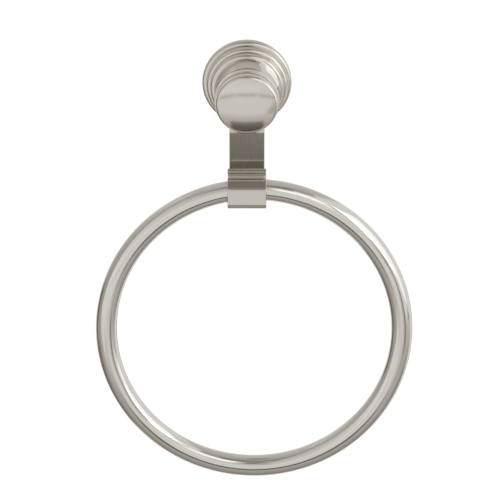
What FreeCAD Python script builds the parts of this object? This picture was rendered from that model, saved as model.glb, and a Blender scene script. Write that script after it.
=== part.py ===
import FreeCAD, Part
import math
import os

import Sketcher

# Towel ring that hangs from a stepped round post, in millimetres.
# The wall is the plane Y = 0 and the post stands out of it towards -Y, with +Z up.
# The origin is the middle of the wall bracket's back, on the post's own axis.
# Forward means the distance in front of the wall, and height is measured from the post's axis.

SIZES = (
    ("first_step_radius", 23.3, "Rosette: radius of the step that lies against the wall"),
    ("second_step_inset", 2.2, "Rosette: how far the second step stands in from the first"),
    ("third_step_inset", 2.0, "Rosette: how far the third step stands in from the second"),
    ("first_step_rise", 3.3, "Rosette: height of the first step above the wall"),
    ("second_step_rise", 4.6, "Rosette: height of the second step above the first"),
    ("third_step_rise", 4.0, "Rosette: height of the third step above the second"),
    ("step_round", 1.9, "Rosette: radius of the rounded front edge of each step"),
    ("rosette_wall", 2.8, "Rosette: wall round the bracket recess at the second step"),
    ("recess_depth", 7.0, "Rosette: depth of the recess for the bracket"),
    ("cove_radius", 8.0, "Neck: radius of the cove between rosette and waist"),
    ("cove_depth", 3.5, "Neck: how far the cove goes in from the rosette to the waist"),
    ("neck_length", 15.9, "Neck: from the rosette to the head"),
    ("neck_flare", 2.8, "Neck: how far the head's back edge stands out from the waist"),
    ("neck_wall", 3.1, "Neck: wall at the waist"),
    ("neck_floor", 4.1, "Neck: metal between the bore and the strap slot"),
    ("head_radius", 17.0, "Head: radius"),
    ("head_length", 3.5, "Head: length"),
    ("head_round", 0.6, "Head: radius of the rounded back edge"),
    ("head_lip", 0.3, "Head: bevel at the front edge"),
    ("cap_radius", 16.3, "Cap: radius"),
    ("cap_height", 5.2, "Cap: height of the rounded rim above the head"),
    ("cap_lip", 0.3, "Cap: bevel at the back edge"),
    ("rim_round", 2.0, "Cap: radius of the rounded rim"),
    ("dome_radius", 65.0, "Cap: radius of the slightly domed face"),
    ("strap_width", 18.3, "Strap: width of the straight part"),
    ("strap_thickness", 1.2, "Strap: thickness of the strip"),
    ("strap_edge", 0.25, "Strap: rounding of the strip's outer edges"),
    ("strap_lean", 8.5, "Strap: degrees that it leans back towards the wall below the head"),
    ("strap_bend", 8.0, "Strap: inner radius of the two slight bends above and below the lean"),
    ("slot_gap", 0.1, "Strap: side clearance in the head's slot"),
    ("loop_flare", 0.95, "Loop: how far the folded end stands out past the strap on each side"),
    ("loop_slope_run", 4.2, "Loop: how far the sloped top front reaches back"),
    ("loop_slope_drop", 4.5, "Loop: how far the sloped top front comes down"),
    ("loop_slope_round", 2.0, "Loop: outer radius of the folds above and below the slope"),
    ("loop_bottom_round", 3.0, "Loop: outer radius of the two folds at the bottom"),
    ("tab_bend", 0.5, "Loop: inner radius of the fold at the end tab"),
    ("tab_height", 1.5, "Loop: height of the end tab above the top of the loop"),
    ("ring_radius", 77.1, "Ring: radius of the tube's centreline"),
    ("tube_radius", 5.55, "Ring: outer radius of the tube"),
    ("tube_wall", 1.2, "Ring: wall of the tube"),
    ("ring_offset", 3.7, "Ring: how far its middle hangs to the right of the post"),
    ("ring_drop", 47.2, "Ring: from the post's axis down to the top of the tube's centreline"),
    ("loop_rear_gap", 0.65, "Clearance between tube and strap"),
    ("loop_top_gap", 0.6, "Clearance between tube and loop at the top"),
    ("loop_front_gap", 0.45, "Clearance between the swung tube and the loop's front"),
    ("loop_hang_gap", 0.4, "Clearance between the tube and the loop's floor"),
    ("cap_screw_radius", 2.5, "Cap screw: thread radius"),
    ("cap_screw_play", 0.25, "Cap screw: clearance in the holes that it passes"),
    ("cap_screw_grip", 4.0, "Cap screw: length of thread in the cap"),
    ("cap_screw_tip_gap", 0.5, "Cap screw: space in front of its tip"),
    ("cap_screw_head_radius", 4.5, "Cap screw: head radius"),
    ("cap_screw_head_height", 3.0, "Cap screw: head height"),
    ("cap_screw_head_round", 1.2, "Cap screw: radius of the rounded head"),
    ("cap_screw_bevel", 0.5, "Cap screw: bevel at its tip"),
    ("cap_screw_socket", 3.0, "Cap screw: hexagon socket across flats"),
    ("cap_screw_socket_depth", 1.6, "Cap screw: depth of the socket"),
    ("bracket_gap", 0.3, "Bracket: clearance in the recess"),
    ("bracket_thickness", 6.0, "Bracket: thickness"),
    ("bracket_undercut", 1.8, "Bracket: how much narrower it is towards the wall"),
    ("bracket_land", 1.0, "Bracket: height of its straight edge at the wall"),
    ("bracket_bevel", 0.4, "Bracket: bevel round the front"),
    ("wall_hole_spacing", 22.0, "Bracket: distance between the two screw holes"),
    ("wall_hole_radius", 2.3, "Bracket: radius of the screw holes"),
    ("wall_countersink_radius", 4.3, "Bracket: radius of the countersinks"),
    ("set_screw_radius", 1.5, "Set screw: thread radius"),
    ("set_screw_length", 3.0, "Set screw: length"),
    ("set_screw_forward", 4.7, "Set screw: distance from the wall"),
    ("set_screw_point", 0.7, "Set screw: height of its bevelled point"),
    ("set_screw_touch", 0.02, "Set screw: space between its point and the bracket"),
    ("set_screw_socket", 1.5, "Set screw: hexagon socket across flats"),
    ("set_screw_socket_depth", 1.2, "Set screw: depth of the socket"),
)

FULL_TURN = 360
HEXAGON = 6
DRILL_OVERRUN = 1.0
COUNTERSINK_ANGLE = 90
NEARLY_NOTHING = 1e-9
NEARLY_FLAT = 1e-6

doc = FreeCAD.newDocument("towel_ring")
sheet = doc.addObject("Spreadsheet::Sheet", "sizes")
for row, (alias, size, note) in enumerate(SIZES, start=1):
    sheet.set(f"A{row}", note)
    sheet.set(f"B{row}", str(size))
    sheet.setAlias(f"B{row}", alias)
doc.recompute()

# Places that several sub-parts share, as expressions on the sheet

SECOND_STEP_RADIUS = "(sizes.first_step_radius - sizes.second_step_inset)"
THIRD_STEP_RADIUS = f"({SECOND_STEP_RADIUS} - sizes.third_step_inset)"
SECOND_STEP_FRONT = "(sizes.first_step_rise + sizes.second_step_rise)"
ROSETTE_FRONT = f"({SECOND_STEP_FRONT} + sizes.third_step_rise)"
WAIST_RADIUS = "(sizes.head_radius - sizes.head_round - sizes.neck_flare)"
COVE_SPAN = "sqrt(sizes.cove_radius ^ 2 - (sizes.cove_radius - sizes.cove_depth) ^ 2)"
WAIST_FORWARD = f"({ROSETTE_FRONT} + {COVE_SPAN})"
HEAD_BACK = f"({ROSETTE_FRONT} + sizes.neck_length)"
HEAD_FRONT = f"({HEAD_BACK} + sizes.head_length)"
FLARE_SPAN = f"({HEAD_BACK} - {WAIST_FORWARD})"
FLARE_RADIUS = f"(({FLARE_SPAN} ^ 2 + sizes.neck_flare ^ 2) / (2 * sizes.neck_flare))"
RECESS_RADIUS = f"({SECOND_STEP_RADIUS} - sizes.rosette_wall)"
BORE_RADIUS = f"({WAIST_RADIUS} - sizes.neck_wall)"
BORE_DEPTH = f"({HEAD_FRONT} - sizes.strap_thickness - sizes.neck_floor)"
SCREW_HOLE_RADIUS = "(sizes.cap_screw_radius + sizes.cap_screw_play)"
BRACKET_RADIUS = f"({RECESS_RADIUS} - sizes.bracket_gap)"
LOOP_WIDTH = "(sizes.strap_width + 2 * sizes.loop_flare)"
LOOP_TOP = "(sizes.tube_radius + sizes.loop_top_gap + sizes.strap_thickness - sizes.ring_drop)"
TAB_TOP = f"({LOOP_TOP} + sizes.tab_height)"
LEAN = "(sizes.strap_lean * 1 deg)"
LEAN_TOP = "-(sizes.head_radius + sizes.head_lip)"
LEAN_BENDS = "(2 * sizes.strap_bend + sizes.strap_thickness)"
LEAN_FALL = f"({LEAN_TOP} - {TAB_TOP} - {LEAN_BENDS} * sin({LEAN}))"
LEAN_DEPTH = f"({LEAN_BENDS} * (1 - cos({LEAN})) + {LEAN_FALL} * tan({LEAN}))"
LOOP_BACK = f"({HEAD_FRONT} - {LEAN_DEPTH})"
RING_FORWARD = f"({LOOP_BACK} + sizes.tube_radius + sizes.loop_rear_gap)"


def value(text):
    """What an expression on the sheet comes to, as a plain number."""
    result = sheet.evalExpression(text)
    return getattr(result, "Value", result)


def minus(text):
    """The expression with its sign turned."""
    return f"-({text})"


def new_body(label):
    """An empty body whose label is the sub-part's name."""
    body = doc.addObject("PartDesign::Body", label)
    body.Label = label
    return body


def new_sketch(body, role, name, offset="0"):
    """A sketch on one of the body's own origin planes, moved along that plane's normal."""
    sketch = body.newObject("Sketcher::SketchObject", name)
    plane = next(item for item in body.Origin.OriginFeatures if item.Role == role)
    sketch.AttachmentSupport = [(plane, "")]
    sketch.MapMode = "FlatFace"
    sketch.setExpression("AttachmentOffset.Base.z", offset)
    return sketch


def bind(sketch, constraint, name, text):
    """Add a dimension to a sketch and tie it to an expression."""
    index = sketch.addConstraint(constraint)
    sketch.renameConstraint(index, name)
    sketch.setExpression(f"Constraints.{name}", text)


def hold(sketch, geometry, end, name, across, up):
    """Fix a point of a sketch at two expressions, or on an axis where one of them is nothing."""
    for direction, axis, text in (("DistanceX", -2, across), ("DistanceY", -1, up)):
        if abs(value(text)) < NEARLY_NOTHING:
            sketch.addConstraint(Sketcher.Constraint("PointOnObject", geometry, end, axis))
        else:
            dimension = Sketcher.Constraint(direction, -1, 1, geometry, end, value(text))
            bind(sketch, dimension, f"{name}_{direction}", text)


def arc_between(start, end, radius, turn):
    """The short arc from one point to another, to the left for turn 1 and to the right for turn -1."""
    chord = end - start
    side = FreeCAD.Vector(-chord.y, chord.x, 0).normalize()
    rise = math.sqrt(radius ** 2 - (chord.Length / 2) ** 2)
    centre = start + chord * 0.5 + side * (turn * rise)
    angles = [math.atan2(point.y - centre.y, point.x - centre.x) for point in (start, end)]
    circle = Part.Circle(centre, FreeCAD.Vector(0, 0, 1), radius)
    return Part.ArcOfCircle(circle, *angles[::turn])


def outline(sketch, corners):
    """Draw a closed outline through named corners.

    A corner is (name, across, up), or (name, across, up, radius, turn) where an arc leads on to the next.
    """
    points = [FreeCAD.Vector(value(corner[1]), value(corner[2]), 0) for corner in corners]
    pieces = []
    for index, corner in enumerate(corners):
        start = points[index]
        end = points[(index + 1) % len(points)]
        if len(corner) == 3:
            geometry = sketch.addGeometry(Part.LineSegment(start, end))
            pieces.append((geometry, 1, 2))
            continue
        radius, turn = corner[3:]
        geometry = sketch.addGeometry(arc_between(start, end, value(radius), turn))
        pieces.append((geometry, 1, 2) if turn > 0 else (geometry, 2, 1))
        dimension = Sketcher.Constraint("Radius", geometry, value(radius))
        bind(sketch, dimension, f"{corner[0]}_radius", radius)
    for index, corner in enumerate(corners):
        geometry, first, last = pieces[index]
        before, _, before_last = pieces[index - 1]
        sketch.addConstraint(Sketcher.Constraint("Coincident", before, before_last, geometry, first))
        hold(sketch, geometry, first, corner[0], corner[1], corner[2])


def circle(sketch, name, across, up, radius):
    """Draw a circle."""
    centre = FreeCAD.Vector(value(across), value(up), 0)
    geometry = sketch.addGeometry(Part.Circle(centre, FreeCAD.Vector(0, 0, 1), value(radius)))
    bind(sketch, Sketcher.Constraint("Radius", geometry, value(radius)), f"{name}_radius", radius)
    hold(sketch, geometry, 3, name, across, up)


def hexagon(sketch, name, across_flats):
    """Draw a hexagon round the sketch's origin."""
    corner_radius = f"({across_flats} / 2 / cos(30 deg))"
    corners = []
    for index in range(HEXAGON):
        angle = f"{FULL_TURN // HEXAGON * index} deg"
        corners.append(
            (f"{name}_{index}", f"{corner_radius} * cos({angle})", f"{corner_radius} * sin({angle})")
        )
    outline(sketch, corners)


def turned(body, profile):
    """Turn a profile of corners (name, forward, radius), with arcs as in an outline, round the Y axis."""
    sketch = new_sketch(body, "YZ_Plane", "profile")
    flipped = []
    for name, forward, radius, *arc in profile:
        flipped.append((name, minus(forward), radius, *arc[:1], *[-turn for turn in arc[1:]]))
    outline(sketch, flipped)
    turning = body.newObject("PartDesign::Revolution", "turning")
    turning.Profile = sketch
    turning.ReferenceAxis = (sketch, ["H_Axis"])
    turning.Angle = FULL_TURN
    doc.recompute()
    return turning


def cut(body, sketch, name, depth, reverse=False):
    """Cut a sketch into a body, against the sketch's normal or along it."""
    before = body.Shape.Volume
    pocket = body.newObject("PartDesign::Pocket", name)
    pocket.Profile = sketch
    pocket.Reversed = reverse
    pocket.setExpression("Length", depth)
    doc.recompute()
    if body.Shape.Volume >= before:
        raise RuntimeError(f"{name} cuts nothing")
    return pocket


def stepped_post():
    """One casting: a rosette of three rounded steps, a coved neck and the head.

    It is hollow at the back, for the bracket and for the cap screw's head.
    """
    body = new_body("post")
    turned(
        body,
        (
            ("back_inner", "0", RECESS_RADIUS),
            ("back_outer", "0", "sizes.first_step_radius"),
            ("first_side", "sizes.first_step_rise - sizes.step_round", "sizes.first_step_radius",
             "sizes.step_round", -1),
            ("first_face", "sizes.first_step_rise", "sizes.first_step_radius - sizes.step_round"),
            ("second_foot", "sizes.first_step_rise", SECOND_STEP_RADIUS),
            ("second_side", f"{SECOND_STEP_FRONT} - sizes.step_round", SECOND_STEP_RADIUS,
             "sizes.step_round", -1),
            ("second_face", SECOND_STEP_FRONT, f"{SECOND_STEP_RADIUS} - sizes.step_round"),
            ("third_foot", SECOND_STEP_FRONT, THIRD_STEP_RADIUS),
            ("third_side", f"{ROSETTE_FRONT} - sizes.step_round", THIRD_STEP_RADIUS,
             "sizes.step_round", -1),
            ("third_face", ROSETTE_FRONT, f"{THIRD_STEP_RADIUS} - sizes.step_round"),
            ("cove", ROSETTE_FRONT, f"{WAIST_RADIUS} + sizes.cove_depth", "sizes.cove_radius", 1),
            ("waist", WAIST_FORWARD, WAIST_RADIUS, FLARE_RADIUS, 1),
            ("head_back", HEAD_BACK, "sizes.head_radius - sizes.head_round", "sizes.head_round", -1),
            ("head_side", f"{HEAD_BACK} + sizes.head_round", "sizes.head_radius"),
            ("head_bevel", f"{HEAD_FRONT} - sizes.head_lip", "sizes.head_radius"),
            ("head_front", HEAD_FRONT, "sizes.head_radius - sizes.head_lip"),
            ("hole_front", HEAD_FRONT, SCREW_HOLE_RADIUS),
            ("hole_back", BORE_DEPTH, SCREW_HOLE_RADIUS),
            ("bore_front", BORE_DEPTH, BORE_RADIUS),
            ("bore_back", "sizes.recess_depth", BORE_RADIUS),
            ("recess_front", "sizes.recess_depth", RECESS_RADIUS),
        ),
    )

    # The slot in the head's face takes the strap, flush, and runs out at the bottom
    slot = new_sketch(body, "XZ_Plane", "slot_outline", HEAD_FRONT)
    half_slot = "(sizes.strap_width / 2 + sizes.slot_gap)"
    outline(
        slot,
        (
            ("slot_right", half_slot, "0", half_slot, 1),
            ("slot_top", "0", half_slot, half_slot, 1),
            ("slot_left", minus(half_slot), "0"),
            ("slot_left_foot", minus(half_slot), minus("sizes.head_radius + sizes.head_lip")),
            ("slot_right_foot", half_slot, minus("sizes.head_radius + sizes.head_lip")),
        ),
    )
    cut(body, slot, "strap_slot", "sizes.strap_thickness")

    # The set screw's hole comes up through the underside of the second step
    start = f"(sizes.first_step_radius + {DRILL_OVERRUN})"
    hole = new_sketch(body, "XY_Plane", "set_screw_hole_outline", minus(start))
    circle(hole, "hole", "0", minus("sizes.set_screw_forward"), "sizes.set_screw_radius")
    cut(body, hole, "set_screw_hole", f"{start} - {RECESS_RADIUS} + {DRILL_OVERRUN}", reverse=True)
    return body


def front_cap():
    """The disc on the head: a rounded rim and a slightly domed face, tapped from behind."""
    body = new_body("front_cap")
    rim_forward = f"({HEAD_FRONT} + sizes.cap_height - sizes.rim_round)"
    rim_radius = "(sizes.cap_radius - sizes.rim_round)"
    slope = f"asin({rim_radius} / (sizes.dome_radius - sizes.rim_round))"
    top = f"({rim_forward} + sizes.dome_radius - (sizes.dome_radius - sizes.rim_round) * cos({slope}))"
    tapped = f"({HEAD_FRONT} + sizes.cap_screw_grip + sizes.cap_screw_tip_gap)"
    turned(
        body,
        (
            ("hole_middle", tapped, "0"),
            ("hole_end", tapped, "sizes.cap_screw_radius"),
            ("hole_mouth", HEAD_FRONT, "sizes.cap_screw_radius"),
            ("back_face", HEAD_FRONT, "sizes.cap_radius - sizes.cap_lip"),
            ("back_edge", f"{HEAD_FRONT} + sizes.cap_lip", "sizes.cap_radius"),
            ("side", rim_forward, "sizes.cap_radius", "sizes.rim_round", -1),
            ("dome_edge", f"{rim_forward} + sizes.rim_round * cos({slope})",
             f"{rim_radius} + sizes.rim_round * sin({slope})", "sizes.dome_radius", -1),
            ("dome_middle", top, "0"),
        ),
    )
    return body


def round_strip(body, name, choose):
    """Round the strip along the edges that a function chooses from its shape."""
    base = body.Tip
    shape = base.Shape
    edges = choose(shape)
    picked = [
        f"Edge{index}"
        for index, edge in enumerate(shape.Edges, start=1)
        if any(edge.isSame(other) for other in edges)
    ]
    fillet = body.newObject("PartDesign::Fillet", name)
    fillet.Base = (base, picked)
    fillet.setExpression("Radius", "sizes.strap_edge")
    doc.recompute()
    return fillet


def long_edges(shape):
    """The edges that run down the strap's two sides. The rounding follows them over the arc at the top."""
    return [
        edge
        for edge in shape.Edges
        if edge.BoundBox.XLength < NEARLY_FLAT < edge.BoundBox.ZLength
    ]


def side_rim_edges(shape):
    """The outer edges of the two flat sides that lie at half the loop's width."""
    half_width = value(f"{LOOP_WIDTH} / 2")
    edges = []
    for face in shape.Faces:
        box = face.BoundBox
        if box.XLength < NEARLY_FLAT and abs(abs(box.XMax) - half_width) < NEARLY_FLAT:
            edges += face.OuterWire.Edges
    return edges


def leaning_strip(body):
    """The part of the strap that leans back below the head, between two slight bends."""
    thickness = "sizes.strap_thickness"
    inner = "sizes.strap_bend"
    outer = f"({inner} + {thickness})"
    back = f"({HEAD_FRONT} - {thickness})"
    back_foot = f"({LOOP_BACK} - {thickness})"
    inner_rise, outer_rise = (f"{radius} * (1 - cos({LEAN}))" for radius in (inner, outer))
    inner_run, outer_run = (f"{radius} * sin({LEAN})" for radius in (inner, outer))
    profile = new_sketch(body, "YZ_Plane", "lean_outline")
    outline(
        profile,
        (
            ("front_bend", minus(HEAD_FRONT), LEAN_TOP, outer, 1),
            ("front_lean", minus(f"{HEAD_FRONT} - {outer_rise}"), f"{LEAN_TOP} - {outer_run}"),
            ("front_foot_bend", minus(f"{LOOP_BACK} + {inner_rise}"), f"{TAB_TOP} + {inner_run}", inner, -1),
            ("front_foot", minus(LOOP_BACK), TAB_TOP),
            ("back_foot", minus(back_foot), TAB_TOP, outer, 1),
            ("back_foot_bend", minus(f"{back_foot} + {outer_rise}"), f"{TAB_TOP} + {outer_run}"),
            ("back_lean", minus(f"{back} - {inner_rise}"), f"{LEAN_TOP} - {inner_run}", inner, -1),
            ("back_bend", minus(back), LEAN_TOP),
        ),
    )
    lean = body.newObject("PartDesign::Pad", "lean")
    lean.Profile = profile
    lean.SideType = "Symmetric"
    lean.setExpression("Length", "sizes.strap_width")
    doc.recompute()


def hanger_strap():
    """One folded strip: a flat strap that comes down from the head and closes in a loop round the ring."""
    body = new_body("hanger_strap")
    thickness = "sizes.strap_thickness"
    reach = f"({LOOP_WIDTH} / 2 + sizes.ring_offset)"
    droop = f"(sizes.ring_radius - sqrt(sizes.ring_radius ^ 2 - {reach} ^ 2))"
    outer_front = f"({RING_FORWARD} + sizes.tube_radius + {droop} + sizes.loop_front_gap + {thickness})"
    inner_floor = minus(f"sizes.ring_drop + sizes.tube_radius + {droop} + sizes.loop_hang_gap")
    outer_floor = f"({inner_floor} - {thickness})"
    outer_back = f"({LOOP_BACK} - {thickness})"
    tab_outer_bend = f"(sizes.tab_bend + {thickness})"
    inner_bottom_round = f"(sizes.loop_bottom_round - {thickness})"

    strap = new_sketch(body, "XZ_Plane", "strap_outline", HEAD_FRONT)
    half = "(sizes.strap_width / 2)"
    outline(
        strap,
        (
            ("strap_right", half, "0", half, 1),
            ("strap_top", "0", half, half, 1),
            ("strap_left", minus(half), "0"),
            ("strap_left_foot", minus(half), LEAN_TOP),
            ("strap_right_foot", half, LEAN_TOP),
        ),
    )
    circle(strap, "screw_hole", "0", "0", SCREW_HOLE_RADIUS)
    plate = body.newObject("PartDesign::Pad", "strap")
    plate.Profile = strap
    plate.Reversed = True
    plate.setExpression("Length", thickness)
    doc.recompute()
    leaning_strip(body)
    round_strip(body, "strap_edges", long_edges)

    # The loop's top front slopes down between two folds, each an arc between its tangent points
    slope = "atan(sizes.loop_slope_drop / sizes.loop_slope_run)"
    upper_fold = f"(sizes.loop_slope_round * tan({slope} / 2))"
    lower_fold = f"(sizes.loop_slope_round * tan((90 deg - {slope}) / 2))"
    inner_slope_round = f"(sizes.loop_slope_round - {thickness})"
    slope_back = f"({outer_front} - sizes.loop_slope_run)"
    slope_foot = f"({LOOP_TOP} - sizes.loop_slope_drop)"
    upper_forward = f"({slope_back} + {upper_fold} * cos({slope}))"
    upper_height = f"({LOOP_TOP} - {upper_fold} * sin({slope}))"
    lower_forward = f"({outer_front} - {lower_fold} * cos({slope}))"
    lower_height = f"({slope_foot} + {lower_fold} * sin({slope}))"
    inset_forward = f"{thickness} * sin({slope})"
    inset_height = f"{thickness} * cos({slope})"
    loop = new_sketch(body, "YZ_Plane", "loop_outline")
    outline(
        loop,
        (
            ("back_top", minus(outer_back), TAB_TOP),
            ("back_foot", minus(outer_back), f"{outer_floor} + sizes.loop_bottom_round",
             "sizes.loop_bottom_round", -1),
            ("floor_back", minus(f"{outer_back} + sizes.loop_bottom_round"), outer_floor),
            ("floor_front", minus(f"{outer_front} - sizes.loop_bottom_round"), outer_floor,
             "sizes.loop_bottom_round", -1),
            ("front_foot", minus(outer_front), f"{outer_floor} + sizes.loop_bottom_round"),
            ("front_top", minus(outer_front), f"{slope_foot} - {lower_fold}", "sizes.loop_slope_round", -1),
            ("slope_foot", minus(lower_forward), lower_height),
            ("slope_top", minus(upper_forward), upper_height, "sizes.loop_slope_round", -1),
            ("top_front", minus(f"{slope_back} - {upper_fold}"), LOOP_TOP),
            ("top_back", minus(f"{LOOP_BACK} + {thickness} + sizes.tab_bend"), LOOP_TOP,
             "sizes.tab_bend", 1),
            ("tab_foot", minus(f"{LOOP_BACK} + {thickness}"), f"{LOOP_TOP} + sizes.tab_bend"),
            ("tab_front", minus(f"{LOOP_BACK} + {thickness}"), TAB_TOP),
        ),
    )
    outline(
        loop,
        (
            ("inner_back_top", minus(LOOP_BACK), f"{LOOP_TOP} + sizes.tab_bend"),
            ("inner_back_foot", minus(LOOP_BACK), f"{inner_floor} + {inner_bottom_round}",
             inner_bottom_round, -1),
            ("inner_floor_back", minus(f"{LOOP_BACK} + {inner_bottom_round}"), inner_floor),
            ("inner_floor_front", minus(f"{outer_front} - sizes.loop_bottom_round"), inner_floor,
             inner_bottom_round, -1),
            ("inner_front_foot", minus(f"{outer_front} - {thickness}"),
             f"{inner_floor} + {inner_bottom_round}"),
            ("inner_front_top", minus(f"{outer_front} - {thickness}"), f"{slope_foot} - {lower_fold}",
             inner_slope_round, -1),
            ("inner_slope_foot", minus(f"{lower_forward} - {inset_forward}"),
             f"{lower_height} - {inset_height}"),
            ("inner_slope_top", minus(f"{upper_forward} - {inset_forward}"),
             f"{upper_height} - {inset_height}", inner_slope_round, -1),
            ("inner_top_front", minus(f"{slope_back} - {upper_fold}"), f"{LOOP_TOP} - {thickness}"),
            ("inner_top_back", minus(f"{LOOP_BACK} + {tab_outer_bend}"), f"{LOOP_TOP} - {thickness}",
             tab_outer_bend, 1),
        ),
    )
    fold = body.newObject("PartDesign::Pad", "loop")
    fold.Profile = loop
    fold.SideType = "Symmetric"
    fold.setExpression("Length", LOOP_WIDTH)
    doc.recompute()
    round_strip(body, "loop_edges", side_rim_edges)
    return body


def tube_ring():
    """A round tube bent into a full circle. It is turned about its own middle and then hung in the loop."""
    body = new_body("ring")
    section = new_sketch(body, "YZ_Plane", "tube_section")
    circle(section, "outside", "0", "sizes.ring_radius", "sizes.tube_radius")
    circle(section, "inside", "0", "sizes.ring_radius", "sizes.tube_radius - sizes.tube_wall")
    bend = body.newObject("PartDesign::Revolution", "bend")
    bend.Profile = section
    bend.ReferenceAxis = (section, ["H_Axis"])
    bend.Angle = FULL_TURN
    body.setExpression("Placement.Base.x", "sizes.ring_offset")
    body.setExpression("Placement.Base.y", minus(RING_FORWARD))
    body.setExpression("Placement.Base.z", minus("sizes.ring_drop + sizes.ring_radius"))
    doc.recompute()
    return body


def cap_screw():
    """The screw in the neck that pulls the cap and the strap onto the head."""
    body = new_body("cap_screw")
    head_back = f"({BORE_DEPTH} - sizes.cap_screw_head_height)"
    tip = f"({HEAD_FRONT} + sizes.cap_screw_grip)"
    turned(
        body,
        (
            ("head_middle", head_back, "0"),
            ("head_back", head_back, "sizes.cap_screw_head_radius - sizes.cap_screw_head_round",
             "sizes.cap_screw_head_round", -1),
            ("head_side", f"{head_back} + sizes.cap_screw_head_round", "sizes.cap_screw_head_radius"),
            ("head_front", BORE_DEPTH, "sizes.cap_screw_head_radius"),
            ("shank_back", BORE_DEPTH, "sizes.cap_screw_radius"),
            ("shank_front", f"{tip} - sizes.cap_screw_bevel", "sizes.cap_screw_radius"),
            ("tip_edge", tip, "sizes.cap_screw_radius - sizes.cap_screw_bevel"),
            ("tip_middle", tip, "0"),
        ),
    )
    socket = new_sketch(body, "XZ_Plane", "socket_outline", head_back)
    hexagon(socket, "socket", "sizes.cap_screw_socket")
    cut(body, socket, "socket", "sizes.cap_screw_socket_depth", reverse=True)
    return body


def wall_bracket():
    """The round plate that is screwed to the wall. Its edge leans in towards the wall for the set screw."""
    body = new_body("wall_bracket")
    back_radius = f"({BRACKET_RADIUS} - sizes.bracket_undercut)"
    turned(
        body,
        (
            ("back_middle", "0", "0"),
            ("back_edge", "0", back_radius),
            ("land", "sizes.bracket_land", back_radius),
            ("front_side", "sizes.bracket_thickness - sizes.bracket_bevel", BRACKET_RADIUS),
            ("front_edge", "sizes.bracket_thickness", f"{BRACKET_RADIUS} - sizes.bracket_bevel"),
            ("front_middle", "sizes.bracket_thickness", "0"),
        ),
    )
    holes = new_sketch(body, "XZ_Plane", "wall_hole_outline", "sizes.bracket_thickness")
    for name, side in (("left", "-1"), ("right", "1")):
        circle(holes, name, f"{side} * sizes.wall_hole_spacing / 2", "0", "sizes.wall_hole_radius")
    drilled = body.newObject("PartDesign::Hole", "wall_holes")
    drilled.Profile = holes
    doc.recompute()
    drilled.DepthType = "ThroughAll"
    drilled.setExpression("Diameter", "2 * sizes.wall_hole_radius")
    drilled.HoleCutType = "Countersink"
    drilled.HoleCutCustomValues = True
    drilled.setExpression("HoleCutDiameter", "2 * sizes.wall_countersink_radius")
    drilled.HoleCutCountersinkAngle = COUNTERSINK_ANGLE
    doc.recompute()
    return body


def set_screw():
    """The grub screw from below that holds the post down on the bracket."""
    body = new_body("set_screw")
    lean = "(sizes.bracket_undercut / (sizes.bracket_thickness - sizes.bracket_bevel - sizes.bracket_land))"
    point_radius = "(sizes.set_screw_radius - sizes.set_screw_point)"
    point_front = f"(sizes.set_screw_forward + {point_radius} - sizes.bracket_land)"
    touched = f"({BRACKET_RADIUS} - sizes.bracket_undercut + {lean} * {point_front})"
    tip = minus(f"{touched} + sizes.set_screw_touch")
    foot = f"({tip} - sizes.set_screw_length)"
    profile = new_sketch(body, "XZ_Plane", "profile")
    outline(
        profile,
        (
            ("tip_middle", "0", tip),
            ("foot_middle", "0", foot),
            ("foot_edge", "sizes.set_screw_radius", foot),
            ("point_edge", "sizes.set_screw_radius", f"{tip} - sizes.set_screw_point"),
            ("tip_edge", point_radius, tip),
        ),
    )
    turning = body.newObject("PartDesign::Revolution", "turning")
    turning.Profile = profile
    turning.ReferenceAxis = (profile, ["V_Axis"])
    turning.Angle = FULL_TURN
    body.setExpression("Placement.Base.y", minus("sizes.set_screw_forward"))
    doc.recompute()
    socket = new_sketch(body, "XY_Plane", "socket_outline", foot)
    hexagon(socket, "socket", "sizes.set_screw_socket")
    cut(body, socket, "socket", "sizes.set_screw_socket_depth", reverse=True)
    return body


def check(bodies):
    """Stop if any object failed, or if a sub-part's shape is missing or faulty."""
    for item in doc.Objects:
        if "Invalid" in item.State or "Error" in item.State:
            raise RuntimeError(f"{item.Label} failed: {item.State}")
    for body in bodies:
        if body.Shape.isNull() or not body.Shape.isValid() or len(body.Shape.Solids) != 1:
            raise RuntimeError(f"{body.Label} has no sound solid")


bodies = (
    stepped_post(),
    front_cap(),
    hanger_strap(),
    tube_ring(),
    cap_screw(),
    wall_bracket(),
    set_screw(),
)
doc.recompute()
check(bodies)
os.makedirs("parts", exist_ok=True)
for body in bodies:
    body.Shape.exportStep(f"parts/{body.Label}.step")
    print(f"{body.Label}: {body.Shape.Volume / 1000:.3f} cubic centimetres")
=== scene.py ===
import math
from collections import namedtuple

import bpy
import numpy as np
from mathutils import Matrix, Vector


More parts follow.
